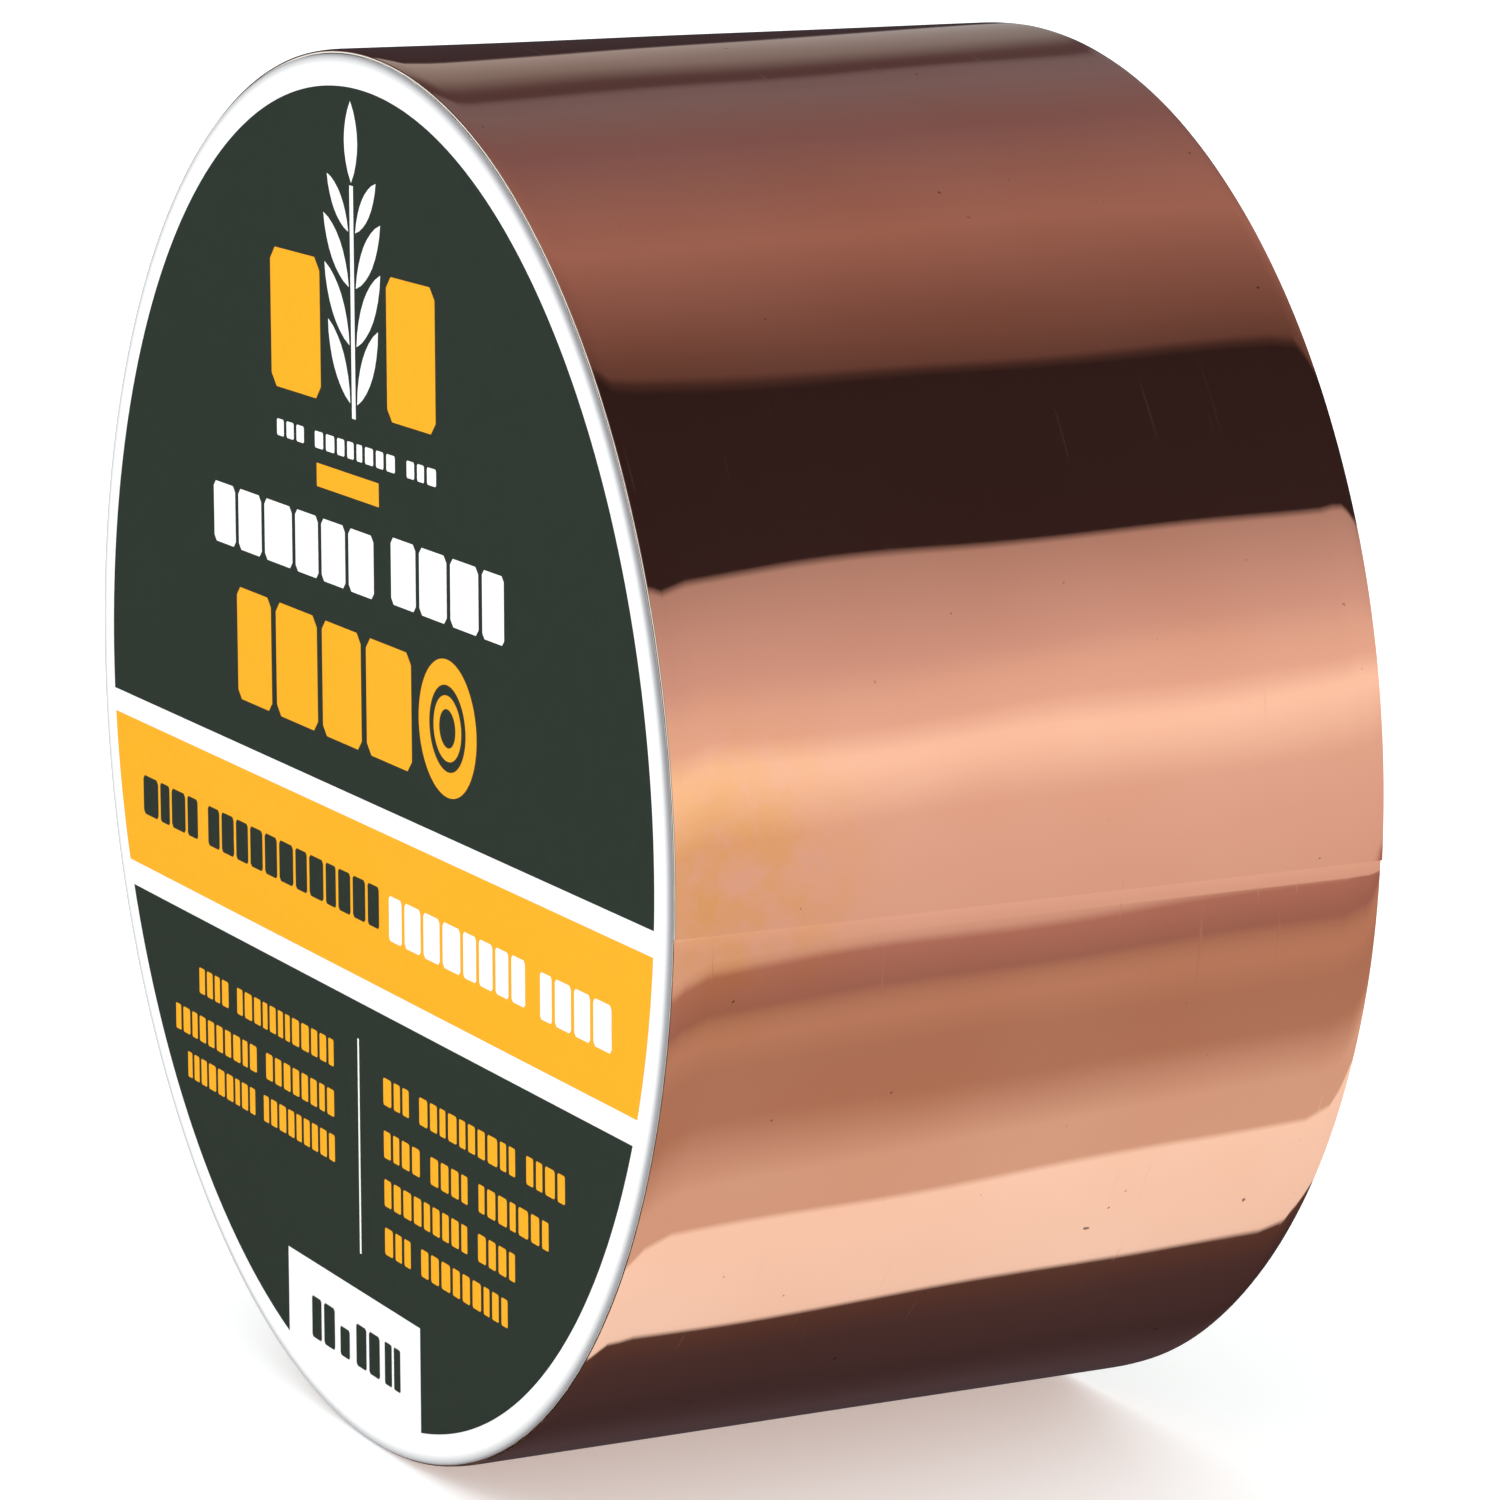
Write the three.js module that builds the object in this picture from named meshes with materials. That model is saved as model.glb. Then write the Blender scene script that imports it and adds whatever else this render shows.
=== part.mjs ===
// A roll of copper foil tape on a cardboard core, standing on its curved side.
//
// Millimetres, +Z up. The roll's axis is the Y axis and the origin is its centre.
// The label is on the -Y side; the +Y side is open and shows the core and the layers' edges.
// Angles are in degrees about the roll's axis, from +X towards +Z.
//
// The tape is one laminated strip: copper foil outside, adhesive, then a paper release liner.
// It is wound as a spiral that ends just below the roll's +X side. The pack of turns is one
// solid. Over the top, and at its free end, the outermost turn is drawn as its three layers.

import * as THREE from 'three';

// The strip
const TAPE_WIDTH = 50.8;
const FOIL = 0.05;
const ADHESIVE = 0.03;
const LINER = 0.11;
const TURN_PITCH = FOIL + ADHESIVE + LINER;
const TURNS = 36;

// The core: a spiral-wound paper tube with a thin inner and outer ply
const CORE_BORE_R = 38.1;
const CORE_WALL = 3.0;
const CORE_SKIN_PLY = 0.35;
const CORE_R = CORE_BORE_R + CORE_WALL;

// The roll and where its outermost turn runs
const ROLL_R = CORE_R + TURNS * TURN_PITCH;
const FREE_END_ANGLE = -3;
const LIFT_LINE_ANGLE = 24;
const LAYERS_END_ANGLE = 198;
const REST_FLAT_ANGLE = 270;
const REST_FLAT_HALF_ANGLE = 3;

// The glued strip that holds the first turn to the core
const START_STRIP = 0.1;
const START_STRIP_FROM = 39;
const START_STRIP_TO = 57;

// The round label: printed card on its own layer of adhesive
const LABEL_R = 47.6;
const LABEL_CARD = 0.25;
const LABEL_ADHESIVE = 0.04;

// Faces that touch are drawn a hair apart
const LAYER_GAP = 0.01;
const END_GAP = 0.05;
const FACET = 3;

const radians = THREE.MathUtils.degToRad;

const copper = { color: 0xb9755a, roughness: 0.18, metalness: 1.0 };
const adhesive = { color: 0xd8c39a, roughness: 0.35, metalness: 0.0 };
const liner = { color: 0xf1ede2, roughness: 0.6, metalness: 0.0 };
const kraft = { color: 0xb08a5e, roughness: 0.9, metalness: 0.0 };
const greyboard = { color: 0x9a8f80, roughness: 0.95, metalness: 0.0 };
const card = { color: 0x2d3830, roughness: 0.35, metalness: 0.0 };

// Outer radius of the outermost turn. It shrinks by one turn's thickness in going once round.
function turnRadius(angle) {
  return ROLL_R - TURN_PITCH * (angle - FREE_END_ANGLE) / 360;
}

// Angles from one to another in steps of one facet, both ends included
function steps(from, to) {
  const angles = [];
  for (let angle = from; angle < to; angle += FACET) {
    angles.push(angle);
  }
  angles.push(to);
  return angles;
}

function polar(radius, angle) {
  return new THREE.Vector2(radius * Math.cos(radians(angle)), radius * Math.sin(radians(angle)));
}

// A closed outline round the axis whose radius is a function of the angle
function fullTurn(radiusAt) {
  return steps(0, 360 - FACET).map((angle) => polar(radiusAt(angle), angle));
}

// An outline or shape in the XZ plane pushed along Y, centred on the tape's width
function namedPart(name, shape, finish, width = TAPE_WIDTH, centreY = 0) {
  const geometry = new THREE.ExtrudeGeometry(shape, { depth: width, bevelEnabled: false });
  const mesh = new THREE.Mesh(geometry, new THREE.MeshStandardMaterial(finish));
  mesh.name = name;
  mesh.rotation.x = Math.PI / 2;
  mesh.position.y = centreY + width / 2;
  return mesh;
}

// A ring between an inner radius and an outer one
function ring(name, innerR, outerR, finish) {
  const shape = new THREE.Shape(fullTurn(() => outerR));
  shape.holes.push(new THREE.Path(fullTurn(() => innerR)));
  return namedPart(name, shape, finish);
}

// Part of a turn: a curved sheet whose outer face lies a given depth below the turn's own
function turnLayer(name, from, to, depth, thickness, finish) {
  const outer = steps(from, to).map((angle) => polar(turnRadius(angle) - depth, angle));
  const inner = steps(from, to).map((angle) => polar(turnRadius(angle) - depth - thickness, angle));
  return namedPart(name, new THREE.Shape([...outer, ...inner.reverse()]), finish);
}

// The three layers of the strip over one stretch of the outermost turn
function turnLayers(prefix, from, to) {
  const adhesiveDepth = FOIL + LAYER_GAP;
  const linerDepth = FOIL + ADHESIVE + 2 * LAYER_GAP;
  const linerDrawn = TURN_PITCH - linerDepth;
  return [
    turnLayer(`${prefix}_foil`, from, to, 0, FOIL, copper),
    turnLayer(`${prefix}_adhesive`, from, to, adhesiveDepth, ADHESIVE, adhesive),
    turnLayer(`${prefix}_liner`, from, to, linerDepth, linerDrawn, liner),
  ];
}

// The wound pack. Its outside is the spiral, set one turn lower where the outermost turn is
// drawn as layers, with a small pressed flat where the roll rests. Its inside fits the core
// and steps over the start strip.
function woundTape() {
  const layered = steps(FREE_END_ANGLE, LAYERS_END_ANGLE);
  const solid = steps(LAYERS_END_ANGLE, FREE_END_ANGLE + 360);
  const beforeFlat = (angle) => Math.abs(angle - REST_FLAT_ANGLE) >= REST_FLAT_HALF_ANGLE;
  const outline = [
    ...layered.map((angle) => polar(turnRadius(angle) - TURN_PITCH - LAYER_GAP, angle)),
    ...solid.filter(beforeFlat).map((angle) => polar(turnRadius(angle), angle)),
  ];
  const innerR = CORE_R + LAYER_GAP;
  const bumpR = innerR + START_STRIP + LAYER_GAP;
  const inside = [
    ...steps(START_STRIP_FROM, START_STRIP_TO).map((angle) => polar(bumpR, angle)),
    ...steps(START_STRIP_TO, START_STRIP_FROM + 360).map((angle) => polar(innerR, angle)),
  ];
  const shape = new THREE.Shape(outline);
  shape.holes.push(new THREE.Path(inside));
  return namedPart('wound_tape', shape, copper);
}

// A short curved strip between the core and the first turn
function startStrip() {
  const margin = 0.1;
  const angles = steps(START_STRIP_FROM, START_STRIP_TO);
  angles[0] += margin;
  angles[angles.length - 1] -= margin;
  const innerR = CORE_R + LAYER_GAP;
  const outer = angles.map((angle) => polar(innerR + START_STRIP, angle));
  const inner = angles.map((angle) => polar(innerR, angle));
  return namedPart('start_strip', new THREE.Shape([...outer, ...inner.reverse()]), adhesive);
}

// A disc on the -Y side, a given distance out from the roll's side face
function labelDisc(name, distance, thickness, finish) {
  const centreY = -TAPE_WIDTH / 2 - distance - thickness / 2;
  return namedPart(name, new THREE.Shape(fullTurn(() => LABEL_R)), finish, thickness, centreY);
}

const boardInnerR = CORE_BORE_R + CORE_SKIN_PLY;
const boardOuterR = CORE_R - CORE_SKIN_PLY;
const gapAngle = THREE.MathUtils.radToDeg(END_GAP / ROLL_R);

const roll = new THREE.Group();
roll.add(
  ring('core_inner_ply', CORE_BORE_R, boardInnerR - LAYER_GAP, kraft),
  ring('core_board', boardInnerR, boardOuterR, greyboard),
  ring('core_outer_ply', boardOuterR + LAYER_GAP, CORE_R, kraft),
  startStrip(),
  woundTape(),
  ...turnLayers('outer_turn', LIFT_LINE_ANGLE + gapAngle, LAYERS_END_ANGLE - gapAngle),
  ...turnLayers('tape_end', FREE_END_ANGLE, LIFT_LINE_ANGLE),
  labelDisc('label_adhesive', LAYER_GAP, LABEL_ADHESIVE, adhesive),
  labelDisc('label_card', LABEL_ADHESIVE + 2 * LAYER_GAP, LABEL_CARD, card),
);

export default roll;
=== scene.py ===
# Roll of copper foil tape: the looks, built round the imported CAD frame.
#
# Metres, +Z up, the roll's axis along Y and its centre at the origin. The label is on the -Y side.
# Angles are in degrees about the roll's axis, from +X towards +Z.

import math
import random

import bpy
from mathutils import Matrix, Vector


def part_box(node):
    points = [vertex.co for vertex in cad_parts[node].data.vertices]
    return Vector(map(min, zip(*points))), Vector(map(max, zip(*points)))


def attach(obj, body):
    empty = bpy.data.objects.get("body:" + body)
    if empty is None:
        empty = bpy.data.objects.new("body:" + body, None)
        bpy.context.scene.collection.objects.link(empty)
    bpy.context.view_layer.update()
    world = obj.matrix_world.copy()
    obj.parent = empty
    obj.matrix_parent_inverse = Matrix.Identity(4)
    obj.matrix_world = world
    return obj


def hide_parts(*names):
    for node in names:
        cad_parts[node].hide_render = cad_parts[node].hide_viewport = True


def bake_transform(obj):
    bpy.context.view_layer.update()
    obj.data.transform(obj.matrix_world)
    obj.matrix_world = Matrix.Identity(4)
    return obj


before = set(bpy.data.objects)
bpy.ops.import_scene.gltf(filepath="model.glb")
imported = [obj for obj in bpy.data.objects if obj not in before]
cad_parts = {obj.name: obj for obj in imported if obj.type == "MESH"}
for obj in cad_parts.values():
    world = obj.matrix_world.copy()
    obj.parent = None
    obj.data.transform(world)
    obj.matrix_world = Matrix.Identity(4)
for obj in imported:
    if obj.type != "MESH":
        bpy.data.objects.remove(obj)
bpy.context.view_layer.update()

MM = 0.001

# ---------------------------------------------------------------- the roll's own sizes

TURN_PITCH = 0.19 * MM
TURNS = 36
FOIL = 0.05 * MM
ADHESIVE = 0.03 * MM
LAYER_GAP = 0.01 * MM
INNER_PLY = 0.34 * MM
BOARD_WALL = 2.3 * MM

# Angles of the outermost turn: its free end, and how far round its layers are drawn one by one.
FREE_END = -3.0
LAYERS_END = 197.9

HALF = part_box("wound_tape")[1].y
BORE_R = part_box("core_inner_ply")[1].x - INNER_PLY
BOARD_R = -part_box("core_board")[0].x - BOARD_WALL
CORE_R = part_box("core_outer_ply")[1].x
ROLL_R = CORE_R + TURNS * TURN_PITCH
LABEL_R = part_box("label_card")[1].x
LABEL_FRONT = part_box("label_card")[0].y
LABEL_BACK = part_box("label_card")[1].y
FLOOR_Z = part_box("wound_tape")[0].z

# The strip's slit edges turn in: over this width, by this much
EDGE_ROLL = 0.9 * MM
EDGE_DROP = 0.07 * MM


def turn_radius(angle):
    """Outer radius of the outermost turn. It shrinks by one turn's thickness in going once round."""
    return ROLL_R - TURN_PITCH * (angle - FREE_END) / 360


def polar(radius, angle, y):
    a = math.radians(angle)
    return Vector((radius * math.cos(a), y, radius * math.sin(a)))


# ---------------------------------------------------------------- small surface shape

# The foil's faint waves: (waves round the roll, half waves across the tape, phase) of each,
# and how steep each one is
dice = random.Random(7)
WAVES_ROUND = (9, 14, 19, 23, 31, 38, 47)
WAVES_ACROSS = (-2, -1, 0, 0, 1, 2)
RIPPLES = [
    (dice.choice(WAVES_ROUND), dice.choice(WAVES_ACROSS), dice.uniform(0, 2 * math.pi))
    for _ in range(16)
]
RIPPLE_SLOPE = 0.0011


def ripple(angle, y):
    """Height of the waves, which make the reflections in the foil slightly uneven."""
    height = 0.0
    for around, across, phase in RIPPLES:
        wavelength = 2 * math.pi * ROLL_R / around
        amplitude = RIPPLE_SLOPE * wavelength / (2 * math.pi)
        turned = math.radians(around * angle) + across * math.pi * y / HALF + phase
        height += amplitude * math.sin(turned)
    return height


def edge_drop(y):
    """How far the slit edge of the strip turns in towards the roll."""
    inside = HALF - abs(y)
    if inside >= EDGE_ROLL:
        return 0.0
    return EDGE_DROP * (1 - inside / EDGE_ROLL) ** 2


def strip_rows(count=30):
    """Positions across the tape, close together where its edges turn in."""
    edge = [HALF - EDGE_ROLL * f for f in (0, 0.12, 0.3, 0.6, 1)]
    inner = edge[-1]
    middle = [inner - 2 * inner * i / count for i in range(1, count)]
    return edge + middle + [-y for y in reversed(edge)]


def angle_steps(start, end, step):
    count = max(1, round((end - start) / step))
    return [start + (end - start) * i / count for i in range(count + 1)]


# ---------------------------------------------------------------- mesh building


def new_object(name, points, faces, materials, face_material=None, crease=40):
    mesh = bpy.data.meshes.new(name)
    mesh.from_pydata([tuple(p) for p in points], [], faces)
    for material in materials:
        mesh.materials.append(material)
    if face_material:
        mesh.polygons.foreach_set("material_index", face_material)
    mesh.polygons.foreach_set("use_smooth", [True] * len(mesh.polygons))
    mesh.set_sharp_from_angle(angle=math.radians(crease))
    mesh.validate()
    obj = bpy.data.objects.new(name, mesh)
    bpy.context.scene.collection.objects.link(obj)
    return obj


def swept(name, angles, loop_at, closed, materials, material_at=None):
    """A section swept round the roll's axis. loop_at(angle) gives the section's (radius, y) pairs."""
    loops = [loop_at(angle) for angle in angles]
    size = len(loops[0])
    points = [polar(r, angle, y) for angle, loop in zip(angles, loops) for r, y in loop]
    faces, kinds = [], []
    for i in range(len(angles) if closed else len(angles) - 1):
        this, following = i * size, (i + 1) % len(angles) * size
        for j in range(size):
            k = (j + 1) % size
            faces.append((this + j, following + j, following + k, this + k))
            kinds.append(material_at(j) if material_at else 0)
    if not closed:
        last = (len(angles) - 1) * size
        half = size // 2
        for j in range(half - 1):
            a, b, c, d = j, j + 1, size - 2 - j, size - 1 - j
            faces.append((a, b, c, d))
            faces.append((last + d, last + c, last + b, last + a))
            kinds += [0, 0]
    return new_object(name, points, faces, materials, kinds)


def curved_sheet(name, start, end, depth, thickness, materials):
    """One layer of the outermost turn between two angles, with its waves and turned-in edges."""
    rows = strip_rows()

    def section(angle):
        radius = turn_radius(angle) - depth
        outside = [(radius + ripple(angle, y) - edge_drop(y), y) for y in rows]
        inside = [(r - thickness, y) for r, y in reversed(outside)]
        return outside + inside

    return swept(name, angle_steps(start, end, 0.75), section, False, materials)


def prism(outline, near, far):
    """Points and faces of a flat shape on the label, given as (x, z) pairs counted anticlockwise."""
    n = len(outline)
    points = [(x, near, z) for x, z in outline] + [(x, far, z) for x, z in outline]
    faces = [tuple(range(n)), tuple(range(2 * n - 1, n - 1, -1))]
    faces += [(i, n + i, n + (i + 1) % n, (i + 1) % n) for i in range(n)]
    return points, faces


INK_FILM = 0.010 * MM
INK_GAP = 0.002 * MM


def ink(name, outlines, layer, material):
    """Printed shapes on the label, as one thin film. Outlines are in mm from the label's centre.

    Layer 0 lies on the card and layer 1 on that.
    """
    near = LABEL_FRONT - INK_GAP - (INK_FILM + INK_GAP) * layer
    far = near - INK_FILM
    points, faces = [], []
    for outline in outlines:
        scaled = [(x * MM, z * MM) for x, z in outline]
        shape_points, shape_faces = prism(scaled, near, far)
        faces += [tuple(i + len(points) for i in face) for face in shape_faces]
        points += shape_points
    obj = new_object(name, points, faces, [material], crease=30)
    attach(obj, "roll")
    return obj


# ---------------------------------------------------------------- node helpers


class Nodes:
    """Short names for the shader nodes that the materials and the world are made of."""

    def __init__(self, owner):
        owner.use_nodes = True
        self.tree = owner.node_tree

    def link(self, source, target):
        self.tree.links.new(source, target)

    def node(self, kind, **settings):
        made = self.tree.nodes.new(kind)
        for key, value in settings.items():
            setattr(made, key, value)
        return made

    def math(self, operation, a, b=None):
        made = self.node("ShaderNodeMath", operation=operation)
        for socket, value in zip(made.inputs, (a, b)):
            if value is None:
                continue
            if isinstance(value, (int, float)):
                socket.default_value = value
            else:
                self.link(value, socket)
        return made.outputs[0]

    def split(self, vector):
        made = self.node("ShaderNodeSeparateXYZ")
        self.link(vector, made.inputs[0])
        return made.outputs

    def place(self):
        return self.node("ShaderNodeTexCoord").outputs["Object"]

    def roll_place(self):
        """(distance round the roll, distance along its axis, radius), in metres."""
        x, y, z = self.split(self.place())
        around = self.math("MULTIPLY", self.math("ARCTAN2", z, x), ROLL_R)
        squares = self.math("ADD", self.math("MULTIPLY", x, x), self.math("MULTIPLY", z, z))
        radius = self.math("SQRT", squares)
        joined = self.node("ShaderNodeCombineXYZ")
        for value, socket in zip((around, y, radius), joined.inputs):
            self.link(value, socket)
        return joined.outputs[0]

    def stretched(self, vector, scale):
        made = self.node("ShaderNodeMapping")
        self.link(vector, made.inputs["Vector"])
        made.inputs["Scale"].default_value = scale
        return made.outputs[0]

    def noise(self, vector, scale, detail=3.0, rough=0.5):
        made = self.node("ShaderNodeTexNoise")
        self.link(vector, made.inputs["Vector"])
        made.inputs["Scale"].default_value = scale
        made.inputs["Detail"].default_value = detail
        made.inputs["Roughness"].default_value = rough
        return made.outputs["Fac"]

    def map_range(self, value, low, high, to_low=0.0, to_high=1.0):
        made = self.node("ShaderNodeMapRange")
        self.link(value, made.inputs["Value"])
        made.inputs["From Min"].default_value = low
        made.inputs["From Max"].default_value = high
        made.inputs["To Min"].default_value = to_low
        made.inputs["To Max"].default_value = to_high
        return made.outputs[0]

    def ramp(self, value, *stops):
        """A colour ramp through (position, grey or colour) stops."""
        made = self.node("ShaderNodeValToRGB")
        elements = made.color_ramp.elements
        while len(elements) < len(stops):
            elements.new(0.5)
        for element, (position, colour) in zip(elements, stops):
            element.position = position
            grey = isinstance(colour, (int, float))
            element.color = (colour, colour, colour, 1) if grey else (*colour, 1)
        self.link(value, made.inputs[0])
        return made.outputs[0]

    def mix(self, factor, a, b):
        made = self.node("ShaderNodeMix", data_type="RGBA")
        for socket, value in zip((made.inputs[0], made.inputs[6], made.inputs[7]), (factor, a, b)):
            if isinstance(value, (int, float)):
                socket.default_value = value
            elif isinstance(value, tuple):
                socket.default_value = (*value, 1)
            else:
                self.link(value, socket)
        return made.outputs[2]


class Finish(Nodes):
    """The nodes of one material, round its Principled shader."""

    def __init__(self, name):
        self.material = bpy.data.materials.new(name)
        super().__init__(self.material)
        self.shader = self.tree.nodes["Principled BSDF"]

    def set(self, **values):
        for key, value in values.items():
            self.shader.inputs[key.replace("_", " ")].default_value = value
        return self

    def bump(self, height, distance, strength):
        made = self.node("ShaderNodeBump")
        made.inputs["Distance"].default_value = distance
        made.inputs["Strength"].default_value = strength
        self.link(height, made.inputs["Height"])
        self.link(made.outputs[0], self.shader.inputs["Normal"])

    def colour(self, source):
        self.link(source, self.shader.inputs["Base Color"])

    def roughness(self, source):
        self.link(source, self.shader.inputs["Roughness"])


# ---------------------------------------------------------------- materials

COPPER = (0.93, 0.53, 0.39)
COPPER_CLOUDED = (0.90, 0.49, 0.35)
SPECK = (0.10, 0.045, 0.035)
TARNISH = (0.90, 0.48, 0.18)
TARNISH_AT = polar(ROLL_R, 1.0, -22 * MM)
TARNISH_CORE = 2 * MM
TARNISH_REACH = 12 * MM
SPIRAL_LEAD = 42 * MM
PRINT_WHITE = (0.90, 0.90, 0.90)
PRINT_WHITE_THIN = (0.87, 0.87, 0.87)
PRINT_GREEN = (0.024, 0.037, 0.027)
PRINT_GREEN_THIN = (0.020, 0.031, 0.023)
PRINT_AMBER = (0.93, 0.405, 0.003)
PRINT_AMBER_THIN = (0.91, 0.385, 0.002)
PRINT_GLOSS = 0.32
# Painted shade on the white card's rounded rim: its grey, and how far in from the edge it reaches
RIM_SHADE_GREY = (0.30, 0.30, 0.32)
RIM_SHADE_WIDTH = 0.7 * MM


def copper_foil():
    """Bright smooth foil: faint streaks along the strip, a few specks and a warm tarnished patch."""
    m = Finish("copper_foil_bright").set(Metallic=1.0)
    roll = m.roll_place()
    cloud = m.noise(roll, 60, 2)
    streak = m.noise(m.stretched(roll, (40, 900, 1)), 1.0, 3)
    shade = m.mix(m.ramp(cloud, (0.35, 0), (0.7, 1)), COPPER, COPPER_CLOUDED)

    away = m.node("ShaderNodeVectorMath", operation="DISTANCE")
    m.link(m.place(), away.inputs[0])
    away.inputs[1].default_value = TARNISH_AT
    near = m.ramp(away.outputs["Value"], (TARNISH_CORE, 1), (TARNISH_REACH, 0))
    patchy = m.ramp(m.noise(roll, 260, 5, 0.65), (0.36, 0.15), (0.60, 1))
    shade = m.mix(m.math("MULTIPLY", m.math("MULTIPLY", near, patchy), 0.9), shade, TARNISH)

    speck = m.ramp(m.noise(roll, 1100, 1), (0.80, 0), (0.83, 1))
    shade = m.mix(m.math("MULTIPLY", speck, 0.8), shade, SPECK)
    m.colour(shade)

    scratch = m.ramp(m.noise(m.stretched(roll, (90, 2600, 1)), 1.0, 1), (0.70, 0), (0.76, 1))
    base = m.ramp(streak, (0.3, 0.012), (0.75, 0.032))
    m.roughness(m.math("ADD", base, m.math("MULTIPLY", m.math("ADD", scratch, speck), 0.12)))
    m.bump(m.math("ADD", cloud, m.math("MULTIPLY", scratch, 0.05)), 0.02 * MM, 0.25)
    return m.material


def foil_edge():
    """The cut edges of the foil in the side of the roll."""
    m = Finish("copper_foil_cut_edge").set(Metallic=1.0)
    roll = m.roll_place()
    tone = m.noise(m.stretched(roll, (250, 1, 9000)), 1.0, 2)
    batch = m.noise(m.stretched(roll, (9, 1, 1500)), 1.0, 2)
    shade = m.ramp(tone, (0.3, (0.30, 0.14, 0.09)), (0.7, (0.78, 0.42, 0.29)))
    m.colour(m.mix(m.ramp(batch, (0.42, 0.8), (0.58, 0)), shade, (0.20, 0.09, 0.055)))
    m.roughness(m.ramp(tone, (0.3, 0.45), (0.7, 0.28)))
    m.bump(tone, 0.03 * MM, 0.5)
    return m.material


def liner_paper(name="release_liner_paper", light=(0.90, 0.88, 0.82), dark=(0.80, 0.77, 0.70)):
    m = Finish(name).set(Roughness=0.55)
    fibre = m.noise(m.stretched(m.roll_place(), (900, 1600, 900)), 1.0, 5, 0.6)
    m.colour(m.ramp(fibre, (0.3, dark), (0.7, light)))
    m.bump(fibre, 0.02 * MM, 0.4)
    return m.material


def tape_adhesive():
    """Clear adhesive on copper: the metal shows through, warm and glossy with fine coating lines."""
    m = Finish("tape_adhesive_film").set(Metallic=0.65, Coat_Weight=0.6, Coat_Roughness=0.08)
    lines = m.noise(m.stretched(m.roll_place(), (30, 2200, 1)), 1.0, 3)
    m.colour(m.ramp(lines, (0.3, (0.60, 0.33, 0.20)), (0.75, (0.78, 0.50, 0.34))))
    m.roughness(m.ramp(lines, (0.3, 0.3), (0.7, 0.45)))
    m.bump(lines, 0.02 * MM, 0.3)
    return m.material


def label_adhesive():
    m = Finish("label_adhesive_film").set(Coat_Weight=0.3)
    cloud = m.noise(m.place(), 500, 4)
    m.colour(m.ramp(cloud, (0.3, (0.80, 0.76, 0.66)), (0.7, (0.90, 0.87, 0.80))))
    m.roughness(m.ramp(cloud, (0.3, 0.35), (0.7, 0.5)))
    return m.material


def kraft_paper():
    """The core's brown inner ply, with fibres and the fine line where its spiral meets itself."""
    m = Finish("kraft_core_paper").set(Roughness=0.85)
    roll = m.roll_place()
    fibre = m.noise(m.stretched(roll, (500, 1400, 500)), 1.0, 6, 0.65)
    blotch = m.noise(roll, 90, 3)
    paper = m.ramp(fibre, (0.3, (0.36, 0.22, 0.12)), (0.72, (0.58, 0.40, 0.25)))
    paper = m.mix(m.ramp(blotch, (0.35, 0.25), (0.7, 0)), paper, (0.30, 0.19, 0.11))
    around, along, _ = m.split(roll)
    slope = SPIRAL_LEAD / (2 * math.pi * ROLL_R)
    climb = m.math("ADD", along, m.math("MULTIPLY", around, slope))
    turn = m.math("FRACT", m.math("DIVIDE", m.math("ADD", climb, 1.0), SPIRAL_LEAD))
    seam = m.ramp(turn, (0.0, 1), (0.012, 1), (0.018, 0), (0.982, 0), (1.0, 1))
    m.colour(m.mix(m.math("MULTIPLY", seam, 0.7), paper, (0.16, 0.10, 0.06)))
    m.bump(m.math("SUBTRACT", fibre, m.math("MULTIPLY", seam, 3)), 0.06 * MM, 0.6)
    return m.material


def core_board():
    """Grey recycled board: speckled, with its plies showing as fine rings in the cut end."""
    m = Finish("core_greyboard").set(Roughness=0.9)
    roll = m.roll_place()
    grain = m.noise(m.stretched(roll, (1500, 1500, 2500)), 1.0, 5, 0.7)
    ply = m.noise(m.stretched(roll, (12, 12, 3200)), 1.0, 2)
    board = m.ramp(grain, (0.3, (0.27, 0.24, 0.20)), (0.75, (0.52, 0.47, 0.40)))
    m.colour(m.mix(m.ramp(ply, (0.45, 0.0), (0.6, 0.55)), board, (0.20, 0.16, 0.12)))
    m.bump(m.math("ADD", grain, ply), 0.06 * MM, 0.6)
    return m.material


def coated_print(name, colour, thin, shaded_rim=False):
    """Ink on coated card: a flat colour, barely mottled where it is thin, with a soft sheen.

    A shaded rim gets painted shade: the card greys towards the label's edge, on its rounded rim.
    """
    m = Finish(name).set(Coat_Weight=0.05, Coat_Roughness=0.2, Specular_IOR_Level=0.25)
    mottle = m.noise(m.place(), 900, 4, 0.6)
    cloud = m.noise(m.place(), 35, 2)
    shade = m.mix(m.ramp(mottle, (0.35, 0), (0.7, 0.5)), colour, thin)
    if shaded_rim:
        # Painted shade: the card greys towards its rounded edge
        radius = m.split(m.roll_place())[2]
        inside = m.math("SUBTRACT", LABEL_R, radius)
        rim_shade = m.ramp(m.math("DIVIDE", inside, RIM_SHADE_WIDTH), (0.0, 1), (0.35, 0.55), (1.0, 0))
        shade = m.mix(rim_shade, shade, RIM_SHADE_GREY)
    m.colour(shade)
    m.roughness(m.ramp(cloud, (0.3, PRINT_GLOSS), (0.7, PRINT_GLOSS + 0.08)))
    m.bump(mottle, 0.006 * MM, 0.25)
    return m.material


copper = copper_foil()
edge_copper = foil_edge()
paper = liner_paper()
# The liner's cut edges in the roll's sides: the same paper in much darker browns, as painted shade
# where those edges lie deep between the foil's edges
shaded_edge_paper = liner_paper("release_liner_cut_edge_painted_shade", (0.36, 0.25, 0.18), (0.17, 0.11, 0.08))
glue = tape_adhesive()
kraft = kraft_paper()
board = core_board()
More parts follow.
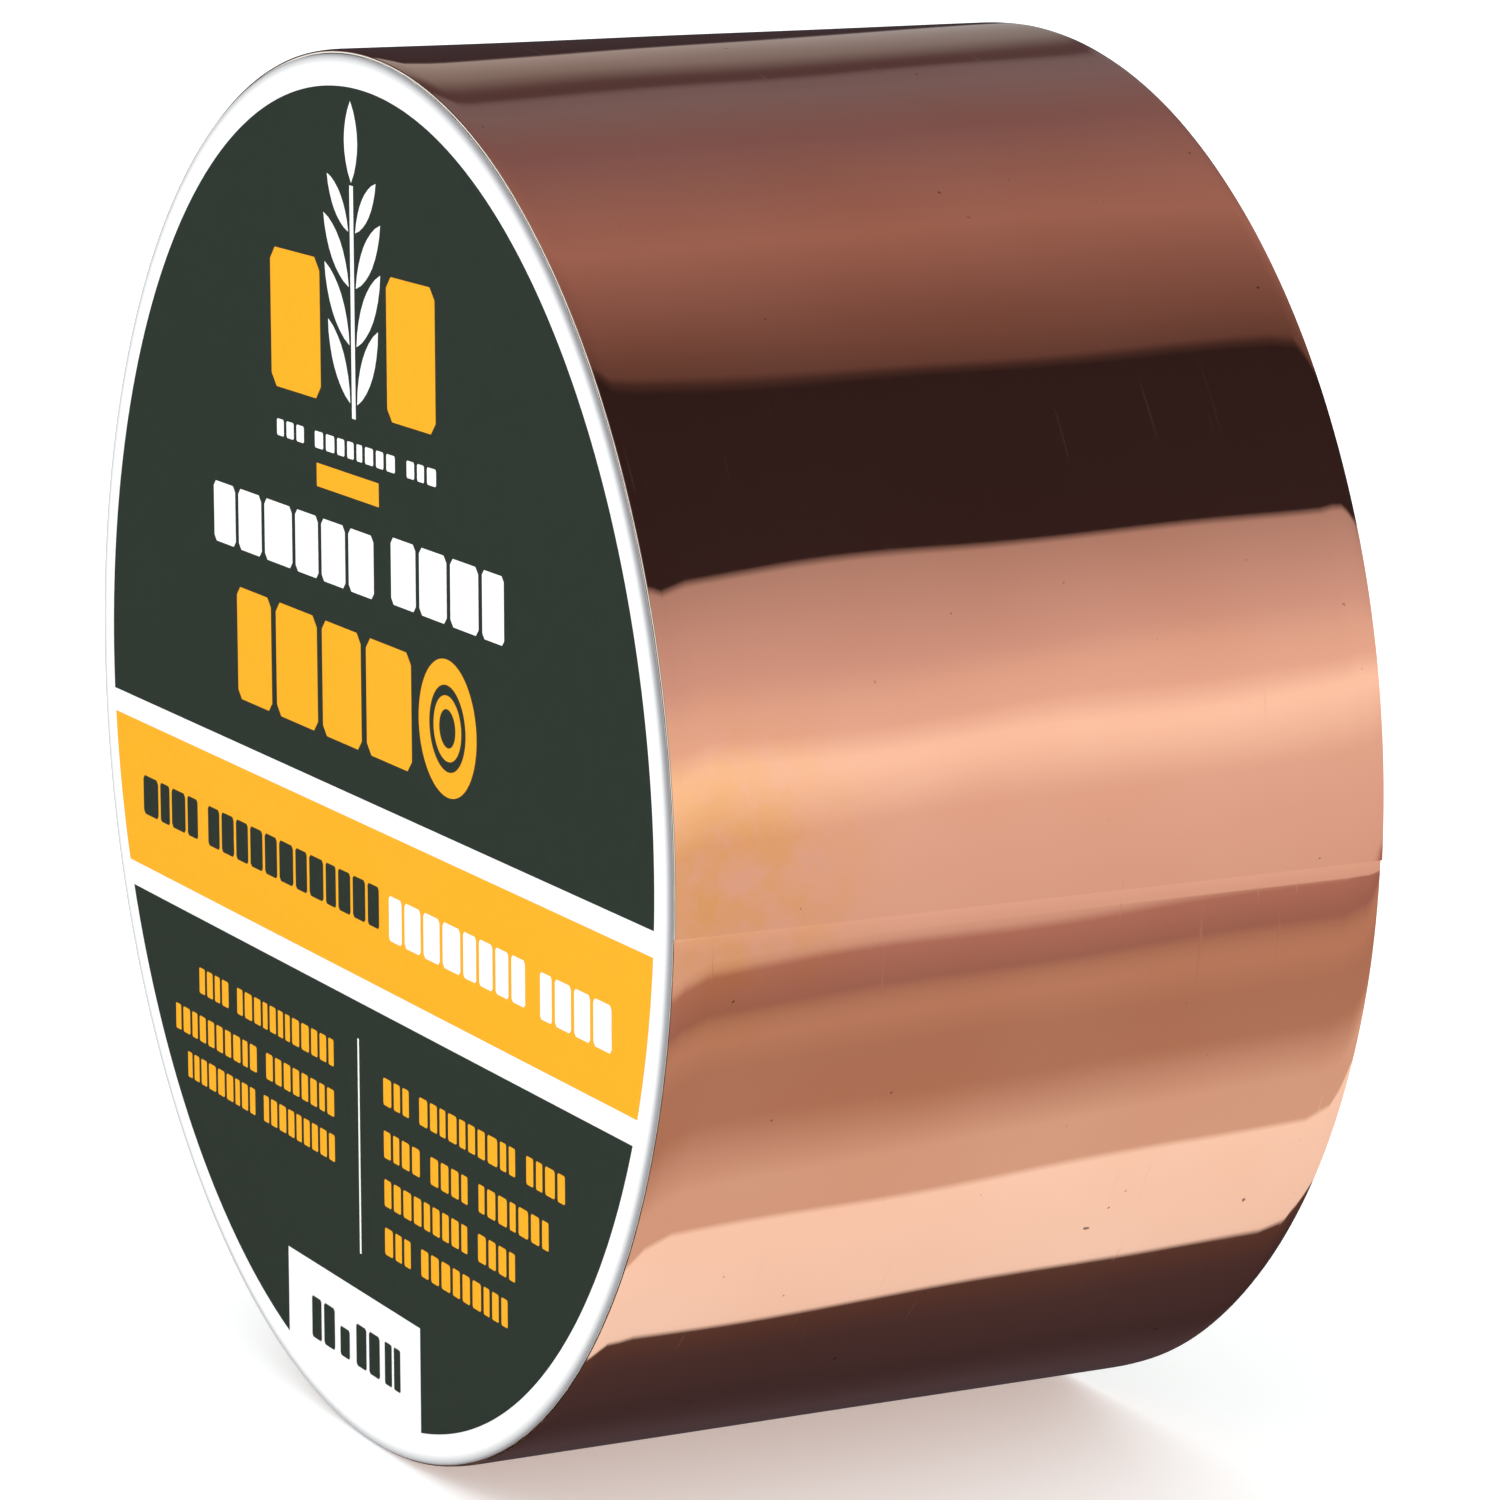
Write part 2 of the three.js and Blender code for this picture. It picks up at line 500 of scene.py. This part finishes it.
# The white card has painted shade at its rim
white_card = coated_print("label_white", PRINT_WHITE, PRINT_WHITE_THIN, shaded_rim=True)
green_ink = coated_print("label_green", PRINT_GREEN, PRINT_GREEN_THIN)
amber_ink = coated_print("label_amber", PRINT_AMBER, PRINT_AMBER_THIN)
white_ink = coated_print("label_white_ink", PRINT_WHITE, PRINT_WHITE_THIN)

# ---------------------------------------------------------------- wound tape

# In the roll's sides each turn's foil stands proud and the paper next to it lies deeper
EDGE_INSET = 0.035 * MM
EDGE_UNEVEN = 0.03 * MM
PAPER_DEEPER = 0.10 * MM
FOIL_SLOPE = 0.02 * MM
POINTS_PER_TURN = 3
TURNS_AT_LABEL = 7
BORE_INSET = 0.05 * MM


def wound_turns():
    """The pack of turns: spiral outside, and each turn's cut edge as its own ridge in the sides.

    The label hides its side of the pack, so only the outermost turns have ridges there.
    """
    jitter = [dice.uniform(-1, 1) for _ in range(TURNS)]
    phase = [dice.uniform(0, 360) for _ in range(TURNS)]
    rows = strip_rows()
    inner = CORE_R + LAYER_GAP

    def outer_at(angle):
        turn = angle if angle >= FREE_END else angle + 360
        layered = turn < LAYERS_END
        return turn_radius(turn) - (TURN_PITCH + LAYER_GAP if layered else 0)

    def side(angle, sign, first):
        """(radius, y) up one side of the pack from a given turn outwards."""
        outer = outer_at(angle) - EDGE_DROP - LAYER_GAP
        pitch = (outer - inner) / TURNS
        points = []
        for k in range(first, TURNS):
            wave = 0.5 + 0.5 * math.sin(math.radians(2 * angle + phase[k]))
            edge = HALF - EDGE_INSET - EDGE_UNEVEN * jitter[k] * wave
            base = inner + pitch * k
            points.append((base + 0.10 * pitch, sign * (edge - PAPER_DEEPER)))
            points.append((base + 0.45 * pitch, sign * (edge - FOIL_SLOPE)))
            points.append((base + 0.95 * pitch, sign * edge))
        return points

    def section(angle):
        outer = outer_at(angle)
        skin = [(outer + ripple(angle, y) - edge_drop(y), y) for y in rows]
        back = side(angle, 1, 0)
        front = side(angle, -1, TURNS - TURNS_AT_LABEL)
        bore = [(inner, -HALF + BORE_INSET), (inner, HALF - BORE_INSET)]
        return skin + list(reversed(front)) + bore + back

    def kind(j):
        """The material of each face of the section: 0 skin, 1 the foil's cut edge, 2 paper, in its
        darker painted-shade colours.
        """
        front_start = len(rows)
        bore_start = front_start + POINTS_PER_TURN * TURNS_AT_LABEL
        back_start = bore_start + 2
        if j < front_start:
            return 0
        if j < bore_start:
            return 1 if (j - front_start) % POINTS_PER_TURN == 0 else 2
        if j < back_start:
            return 2
        return 1 if (j - back_start) % POINTS_PER_TURN == 1 else 2

    # Extra sections close on each side of a step keep it sharp
    steps = [FREE_END + 360 - 0.04, LAYERS_END - 0.02, LAYERS_END + 0.02]
    angles = sorted(angle_steps(FREE_END, FREE_END + 360, 1.25)[:-1] + steps)
    obj = swept("wound_turns", angles, section, True, [copper, edge_copper, shaded_edge_paper], kind)
    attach(obj, "roll")
    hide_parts("wound_tape")


def outer_layers():
    """Foil, adhesive and liner of the outermost turn, each one strip out to the free end."""
    liner_depth = FOIL + ADHESIVE + 2 * LAYER_GAP
    layers = [
        ("foil", "tape_end", 0, FOIL, copper, "copper_foil"),
        ("adhesive", "tape_end", FOIL + LAYER_GAP, ADHESIVE, glue, "adhesive"),
        ("liner", "liner_end", liner_depth, TURN_PITCH - liner_depth, paper, "release_liner"),
    ]
    for name, end_body, depth, thickness, material, slot in layers:
        obj = curved_sheet(f"outer_strip_{name}", FREE_END, LAYERS_END, depth, thickness, [material])
        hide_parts(f"outer_turn_{name}", f"tape_end_{name}")
        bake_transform(obj)


# ---------------------------------------------------------------- core


def core_bore_ply():
    """The inner ply, with edges softened where the tube was cut to length."""
    outer = BOARD_R - LAYER_GAP
    soft = 0.12 * MM
    fuzz = 0.02 * MM
    shorter = 0.03 * MM

    def section(angle):
        uneven = math.sin(math.radians(17 * angle)) * math.sin(math.radians(5 * angle))
        end = HALF - shorter + fuzz * uneven
        outside = [(outer, -end), (outer, end)]
        back = [(BORE_R + soft, end), (BORE_R + soft * 0.3, end - soft * 0.3)]
        back += [(BORE_R, end - soft), (BORE_R, end - 2 * soft), (BORE_R, end - 8 * soft)]
        front = [(r, -y) for r, y in reversed(back)]
        return list(reversed(outside + back + front))

    obj = swept("core_bore_ply", angle_steps(0, 360, 1.5)[:-1], section, True, [kraft])
    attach(obj, "roll")
    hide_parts("core_inner_ply")


def repaint_cad_nodes():
    """CAD nodes whose shape is right keep it and take a finished material."""
    finishes = {
        "core_board": board,
        "core_outer_ply": kraft,
        "start_strip": glue,
        "label_adhesive": label_adhesive(),
    }
    for name, material in finishes.items():
        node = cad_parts[name]
        node.data.materials.clear()
        node.data.materials.append(material)


# ---------------------------------------------------------------- label card

# The print, in mm from the label's centre: the white ring's inner radius, the heights where the
# two green fields and the amber band between them end, and the left, right and top of the size panel
RING_INNER = 45.5
UPPER_FIELD_FROM = -2.4
BAND_TOP = -4.1
BAND_BOTTOM = -14.9
LOWER_FIELD_FROM = -16.7
SIZE_PANEL = (-13.6, 9.3, -37.2)


def label_disc():
    """The white card, rounded over at its rim. The ring of faces closes on a pinhole."""
    rim = 0.8 * (LABEL_BACK - LABEL_FRONT)
    pinhole = 0.2 * MM

    def section(_):
        face = [(pinhole, LABEL_FRONT), (LABEL_R - 3 * rim, LABEL_FRONT)]
        bend = []
        for i in range(1, 7):
            a = math.radians(15 * i)
            bend.append((LABEL_R - rim + rim * math.sin(a), LABEL_FRONT + rim * (1 - math.cos(a))))
        return face + bend + [(LABEL_R, LABEL_BACK), (pinhole, LABEL_BACK)]

    obj = swept("label_white_card", angle_steps(0, 360, 1.5)[:-1], section, True, [white_card])
    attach(obj, "roll")
    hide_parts("label_card")


def rectangle(left, right, low, high):
    return [(left, low), (right, low), (right, high), (left, high)]


def soft_block(left, right, low, high, corner=0.1):
    """A rectangle with its corners taken off."""
    c = corner * min(high - low, right - left)
    return [
        (left + c, low), (right - c, low), (right, low + c), (right, high - c),
        (right - c, high), (left + c, high), (left, high - c), (left, low + c),
    ]


def arc(radius, start, end, step=1.0, centre=(0, 0)):
    x, z = centre
    angles = [math.radians(a) for a in angle_steps(start, end, step)]
    return [(x + radius * math.cos(a), z + radius * math.sin(a)) for a in angles]


def field_between(low, high):
    """The part of the printed round between two heights; either may be None."""
    top = 90.0 if high is None else math.degrees(math.asin(high / RING_INNER))
    bottom = -90.0 if low is None else math.degrees(math.asin(low / RING_INNER))
    right = arc(RING_INNER, bottom, top)
    left = arc(RING_INNER, 180 - top, 180 - bottom)
    return right + left


def lower_field():
    """The lower green field, stepped round the white size panel at its foot."""
    left, right, top = SIZE_PANEL
    start = math.degrees(math.asin(LOWER_FIELD_FROM / RING_INNER))
    right_foot = -math.degrees(math.acos(right / RING_INNER))
    left_foot = -math.degrees(math.acos(left / RING_INNER))
    outline = arc(RING_INNER, right_foot, start)
    outline += arc(RING_INNER, 180 - start, 360 + left_foot)
    return outline + [(left, top), (right, top)]


def word_row(left, right, low, high, letters, gap, seed):
    """A printed word stood for by a row of blocks, one for each letter, with no lettering."""
    order = random.Random(seed)
    weights = [order.uniform(0.75, 1.25) for _ in range(letters)]
    unit = (right - left - gap * (letters - 1)) / sum(weights)
    blocks = []
    x = left
    for weight in weights:
        blocks.append(soft_block(x, x + unit * weight, low, high))
        x += unit * weight + gap
    return blocks


def sentence(left, right, middle, height, words, seed):
    """A line of small print: words given by their letter counts, filling the line's length."""
    space = 0.8
    step = (right - left) / (sum(words) + space * (len(words) - 1))
    low, high = middle - height / 2, middle + height / 2
    blocks = []
    x = left
    for i, count in enumerate(words):
        end = x + (count - 0.3) * step
        blocks += word_row(x, end, low, high, count, 0.28 * step, seed + i)
        x += (count + space) * step
    return blocks


def leaf(x, z, length, width, lean):
    """A pointed leaf from its foot, leaning a number of degrees clockwise from upright."""
    sin, cos = math.sin(math.radians(lean)), math.cos(math.radians(lean))
    right, left = [], []
    for i in range(9):
        along = length * i / 8
        half = width / 2 * math.sin(math.pi * i / 8) ** 0.8
        right.append((x + along * sin + half * cos, z + along * cos - half * sin))
        left.append((x + along * sin - half * cos, z + along * cos + half * sin))
    return right + left[-2:0:-1]


def sprig():
    """A plain upright sprig: a thin stem, pairs of leaves that shorten upwards, and one at the tip."""
    shapes = [rectangle(-0.3, 0.3, 23.4, 39.0), leaf(0, 39.2, 5.4, 2.2, 0)]
    for z, length, lean in ((24.4, 6.4, 34), (28.3, 6.6, 38), (32.2, 6.2, 42), (35.9, 5.0, 44)):
        for side in (-1, 1):
            shapes.append(leaf(side * 0.6, z, length, length * 0.3, side * lean))
    return shapes


def ring_shape(centre, outer, inner, start=0.0):
    """A flat ring as two half rings that meet edge to edge."""
    halves = []
    for first in (start, start + 180):
        outside = arc(outer, first, first + 180, 6, centre)
        inside = arc(inner, first, first + 180, 6, centre)
        halves.append(outside + inside[::-1])
    return halves


def label_print():
    """All the print, laid out as it is on the label. Each word has a seed for its blocks' widths."""
    ink("label_green_fields", [field_between(UPPER_FIELD_FROM, None), lower_field()], 0, green_ink)
    ink("label_amber_band", [field_between(BAND_BOTTOM, BAND_TOP)], 0, amber_ink)

    amber = [soft_block(left, right, 24.0, 33.6) for left, right in ((-14.2, -5.6), (5.6, 13.4))]
    amber.append(rectangle(-6.5, 4.0, 18.0, 19.6))
    amber += word_row(-21.2, 9.0, 0.9, 8.9, 4, 0.9, 3)
    amber += ring_shape((14.8, 4.9), 4.6, 2.9)
    amber += ring_shape((14.8, 4.9), 2.2, 1.3, 90)
    left_list = ((-21.3, -29.6, (4, 12)), (-24.9, -34.3, (10, 8)), (-28.1, -32.1, (9, 9)))
    for middle, left, words in left_list:
        amber += sentence(left, -4.5, middle, 1.9, words, int(middle * 10))
    right_list = (
        (-22.0, 32.9, (3, 10, 4)),
        (-25.7, 30.4, (4, 4, 7)),
        (-29.1, 25.2, (9, 4)),
        (-32.5, 24.0, (3, 9)),
    )
    for middle, right, words in right_list:
        amber += sentence(3.6, right, middle, 1.9, words, int(middle * 10))
    ink("label_amber_print", amber, 1, amber_ink)

    white = sprig()
    white += sentence(-13.4, 13.9, 21.2, 1.15, (3, 8, 3), 5)
    white += word_row(-25.2, 3.0, 11.6, 15.9, 6, 0.6, 11)
    white += word_row(5.9, 23.8, 11.8, 16.3, 4, 0.6, 12)
    white.append(rectangle(-0.75, -0.5, -34.5, -19.3))
    white += word_row(4.9, 26.6, -11.3, -8.2, 8, 0.5, 13)
    white += word_row(28.9, 39.4, -11.5, -8.4, 4, 0.5, 14)
    ink("label_white_print", white, 1, white_ink)

    dark = word_row(-40.0, -29.4, -10.9, -8.0, 4, 0.45, 15)
    dark += word_row(-27.4, 3.2, -10.9, -8.0, 12, 0.45, 16)
    dark += word_row(-9.4, -5.4, -42.7, -39.7, 2, 0.5, 17)
    dark += word_row(-4.4, -2.8, -42.7, -40.6, 1, 0.5, 18)
    dark += word_row(-1.6, 2.4, -42.7, -39.7, 2, 0.5, 19)
    dark += word_row(3.3, 5.9, -42.7, -39.7, 2, 0.4, 20)
    ink("label_dark_print", dark, 1, green_ink)


# ---------------------------------------------------------------- studio


FLOOR_REACH = 3.0
FLOOR_POLISH = 0.05
FLOOR_GLOW = 0.3


def studio_floor():
    """A white table top with the faintest polish, lit a little from below."""
    m = Finish("pale_floor")
    white = m.node("ShaderNodeBsdfDiffuse")
    cloud = m.noise(m.place(), 6, 2)
    m.link(m.ramp(cloud, (0.3, (0.89, 0.95, 0.96)), (0.7, (0.91, 0.97, 0.98))), white.inputs["Color"])
    polish = m.node("ShaderNodeBsdfGlossy")
    polish.inputs["Roughness"].default_value = 0.06
    blend = m.node("ShaderNodeMixShader")
    blend.inputs[0].default_value = FLOOR_POLISH
    m.link(white.outputs[0], blend.inputs[1])
    m.link(polish.outputs[0], blend.inputs[2])
    glow = m.node("ShaderNodeEmission")
    glow.inputs["Strength"].default_value = FLOOR_GLOW
    total = m.node("ShaderNodeAddShader")
    m.link(blend.outputs[0], total.inputs[0])
    m.link(glow.outputs[0], total.inputs[1])
    m.link(total.outputs[0], m.tree.nodes["Material Output"].inputs["Surface"])
    corners = ((-1, -1), (1, -1), (1, 1), (-1, 1))
    points = [(x * FLOOR_REACH, y * FLOOR_REACH, FLOOR_Z) for x, y in corners]
    floor = new_object("studio_floor", points, [(0, 1, 2, 3)], [m.material])
    floor.visible_glossy = False


# Tints of the studio's panels, each with red at 1
WHITE = (1.0, 1.06, 1.04)
SUNLIT = (1.0, 0.97, 0.90)
GREY = (1.0, 1.0, 1.0)
CREAM = (1.0, 0.87, 0.76)
SAND = (1.0, 0.70, 0.55)
ROSE = (1.0, 0.86, 0.80)
DUSK = (1.0, 0.82, 0.79)
BRICK = (1.0, 0.63, 0.57)
PLUM = (1.0, 0.70, 0.78)
MAUVE = (1.0, 0.90, 1.05)
BLACK = (1.0, 0.70, 0.80)

# The studio as the roll's curved side mirrors it: panels one above another round the roll's axis,
# as (from, to, brightness at each, tint). One panel's end runs into the next one's start.
STUDIO_PANELS = [
    (-180, -140, 0.05, 0.07, BLACK),  # backdrop below the horizon
    (-125, -106, 0.05, 0.07, BLACK),
    (-98, -96.4, 0.10, 0.11, BRICK),  # the foot of the table
    (-95.6, -71.4, 0.97, 1.05, WHITE),  # low softbox
    (-70.5, -62, 0.72, 0.72, CREAM),  # card beside it
    (-51, -42, 0.46, 0.45, SAND),  # card's lower part
    (-36, -32.6, 0.52, 0.46, SAND),  # and its bright edge
    (-31.6, -25, 0.35, 0.45, BRICK),
    (-23.5, -4, 0.74, 0.82, ROSE),  # wall under the window
    (5, 7, 1.07, 1.07, SUNLIT),  # window
    (11, 16, 0.87, 0.81, ROSE),  # wall over the window
    (21, 36.6, 0.69, 0.47, DUSK),
    (37.2, 68.6, 0.035, 0.03, BLACK),  # black flag
    (69.5, 97, 0.13, 0.36, BRICK),  # far wall
    (121, 124, 0.23, 0.22, PLUM),
    (138, 144, 0.20, 0.18, MAUVE),
    (146.5, 150, 0.09, 0.10, PLUM),
    (158, 173.5, 0.23, 0.36, GREY),  # high strip light
    (174.5, 180, 0.045, 0.05, BLACK),  # backdrop above it
]
# The panels aren't parallel to the roll's axis, so each band climbs round it: (angle of the band,
# degrees it climbs for each unit of the mirrored direction's slope along the axis). A band is at
# its own angle where that slope is CLIMB_MIDDLE, and climbs no further than CLIMB_REACH from there.
BAND_CLIMBS = [(-98, 45), (-71, 85), (-50, 50), (37, 40), (69, 0), (145, 110), (174, 300)]
MOST_CLIMB = 300
CLIMB_MIDDLE = 0.475
CLIMB_REACH = 0.07

# Brightness of the world as the camera and matt surfaces see it
MATT_LIGHT = 1.08


def studio_world():
    """White to the camera and to matt surfaces; mirrored in metal it is a studio of soft panels."""
    world = bpy.data.worlds.new("soft_studio")
    bpy.context.scene.world = world
    n = Nodes(world)

    def whole_turn(angle):
        return n.map_range(angle, -math.pi, math.pi)

    def banded(turn, marks):
        """A colour ramp over a whole turn, through (degrees from -180 to 180, colour) marks."""
        return n.ramp(turn, *(((angle + 180) / 360, colour) for angle, colour in marks))

    x, y, z = n.split(n.node("ShaderNodeTexCoord").outputs["Generated"])
    around = n.math("ARCTAN2", z, x)
    most = CLIMB_REACH * math.radians(MOST_CLIMB)
    slope = n.map_range(y, CLIMB_MIDDLE - CLIMB_REACH, CLIMB_MIDDLE + CLIMB_REACH, -most, most)
    climbs = [(angle, climb / MOST_CLIMB) for angle, climb in BAND_CLIMBS]
    climb = n.math("MULTIPLY", slope, banded(whole_turn(around), climbs))
    turn = whole_turn(n.math("SUBTRACT", around, climb))

    marks = []
    for start, end, first, last, tint in STUDIO_PANELS:
        marks.append((start, tuple(first * part for part in tint)))
        marks.append((end, tuple(last * part for part in tint)))
    # One colour ramp holds too few marks for them all, so each half of them has its own
    half = len(marks) // 2
    lower = banded(turn, marks[: half + 1])
    upper = banded(turn, marks[half:])
    past = n.math("GREATER_THAN", turn, (marks[half][0] + 180) / 360)
    panels = n.mix(past, lower, upper)

    background = n.tree.nodes["Background"]
    glossy = n.node("ShaderNodeLightPath").outputs["Is Glossy Ray"]
    n.link(n.mix(glossy, (MATT_LIGHT, MATT_LIGHT, MATT_LIGHT), panels), background.inputs["Color"])
    background.inputs["Strength"].default_value = 1.0


def soft_light(name, place, size, watts):
    """A square softbox aimed at the roll. It shades matt surfaces and isn't mirrored in the metal."""
    data = bpy.data.lights.new(name, "AREA")
    data.size = size
    data.energy = watts
    lamp = bpy.data.objects.new(name, data)
    bpy.context.scene.collection.objects.link(lamp)
    lamp.location = place
    lamp.rotation_euler = (-Vector(place)).to_track_quat("-Z", "Y").to_euler()
    lamp.visible_glossy = False


def studio_camera():
    """Long lens, a little above the roll, towards its label side, aimed just beside its centre."""
    azimuth = math.radians(63.1)
    elevation = math.radians(11.2)
    distance = 428 * MM
    focal_mm = 148.1
    aside, above = 3.5 * MM, -1.4 * MM
    right = Vector((math.cos(azimuth), math.sin(azimuth), 0))
    back = Vector(
        (
            math.sin(azimuth) * math.cos(elevation),
            -math.cos(azimuth) * math.cos(elevation),
            math.sin(elevation),
        )
    )
    up = back.cross(right)
    data = bpy.data.cameras.new("camera")
    data.lens = focal_mm
    data.clip_start = 0.01
    camera = bpy.data.objects.new("camera", data)
    bpy.context.scene.collection.objects.link(camera)
    turned = Matrix((right, up, back)).transposed().to_4x4()
    camera.matrix_world = Matrix.Translation(back * distance + right * aside + up * above) @ turned
    bpy.context.scene.camera = camera


studio_camera()
studio_floor()
studio_world()
soft_light("key", (-0.35, -0.8, 0.75), 0.7, 3.0)
bpy.context.scene.view_settings.view_transform = "Standard"

wound_turns()
outer_layers()
core_bore_ply()
repaint_cad_nodes()
label_disc()
label_print()
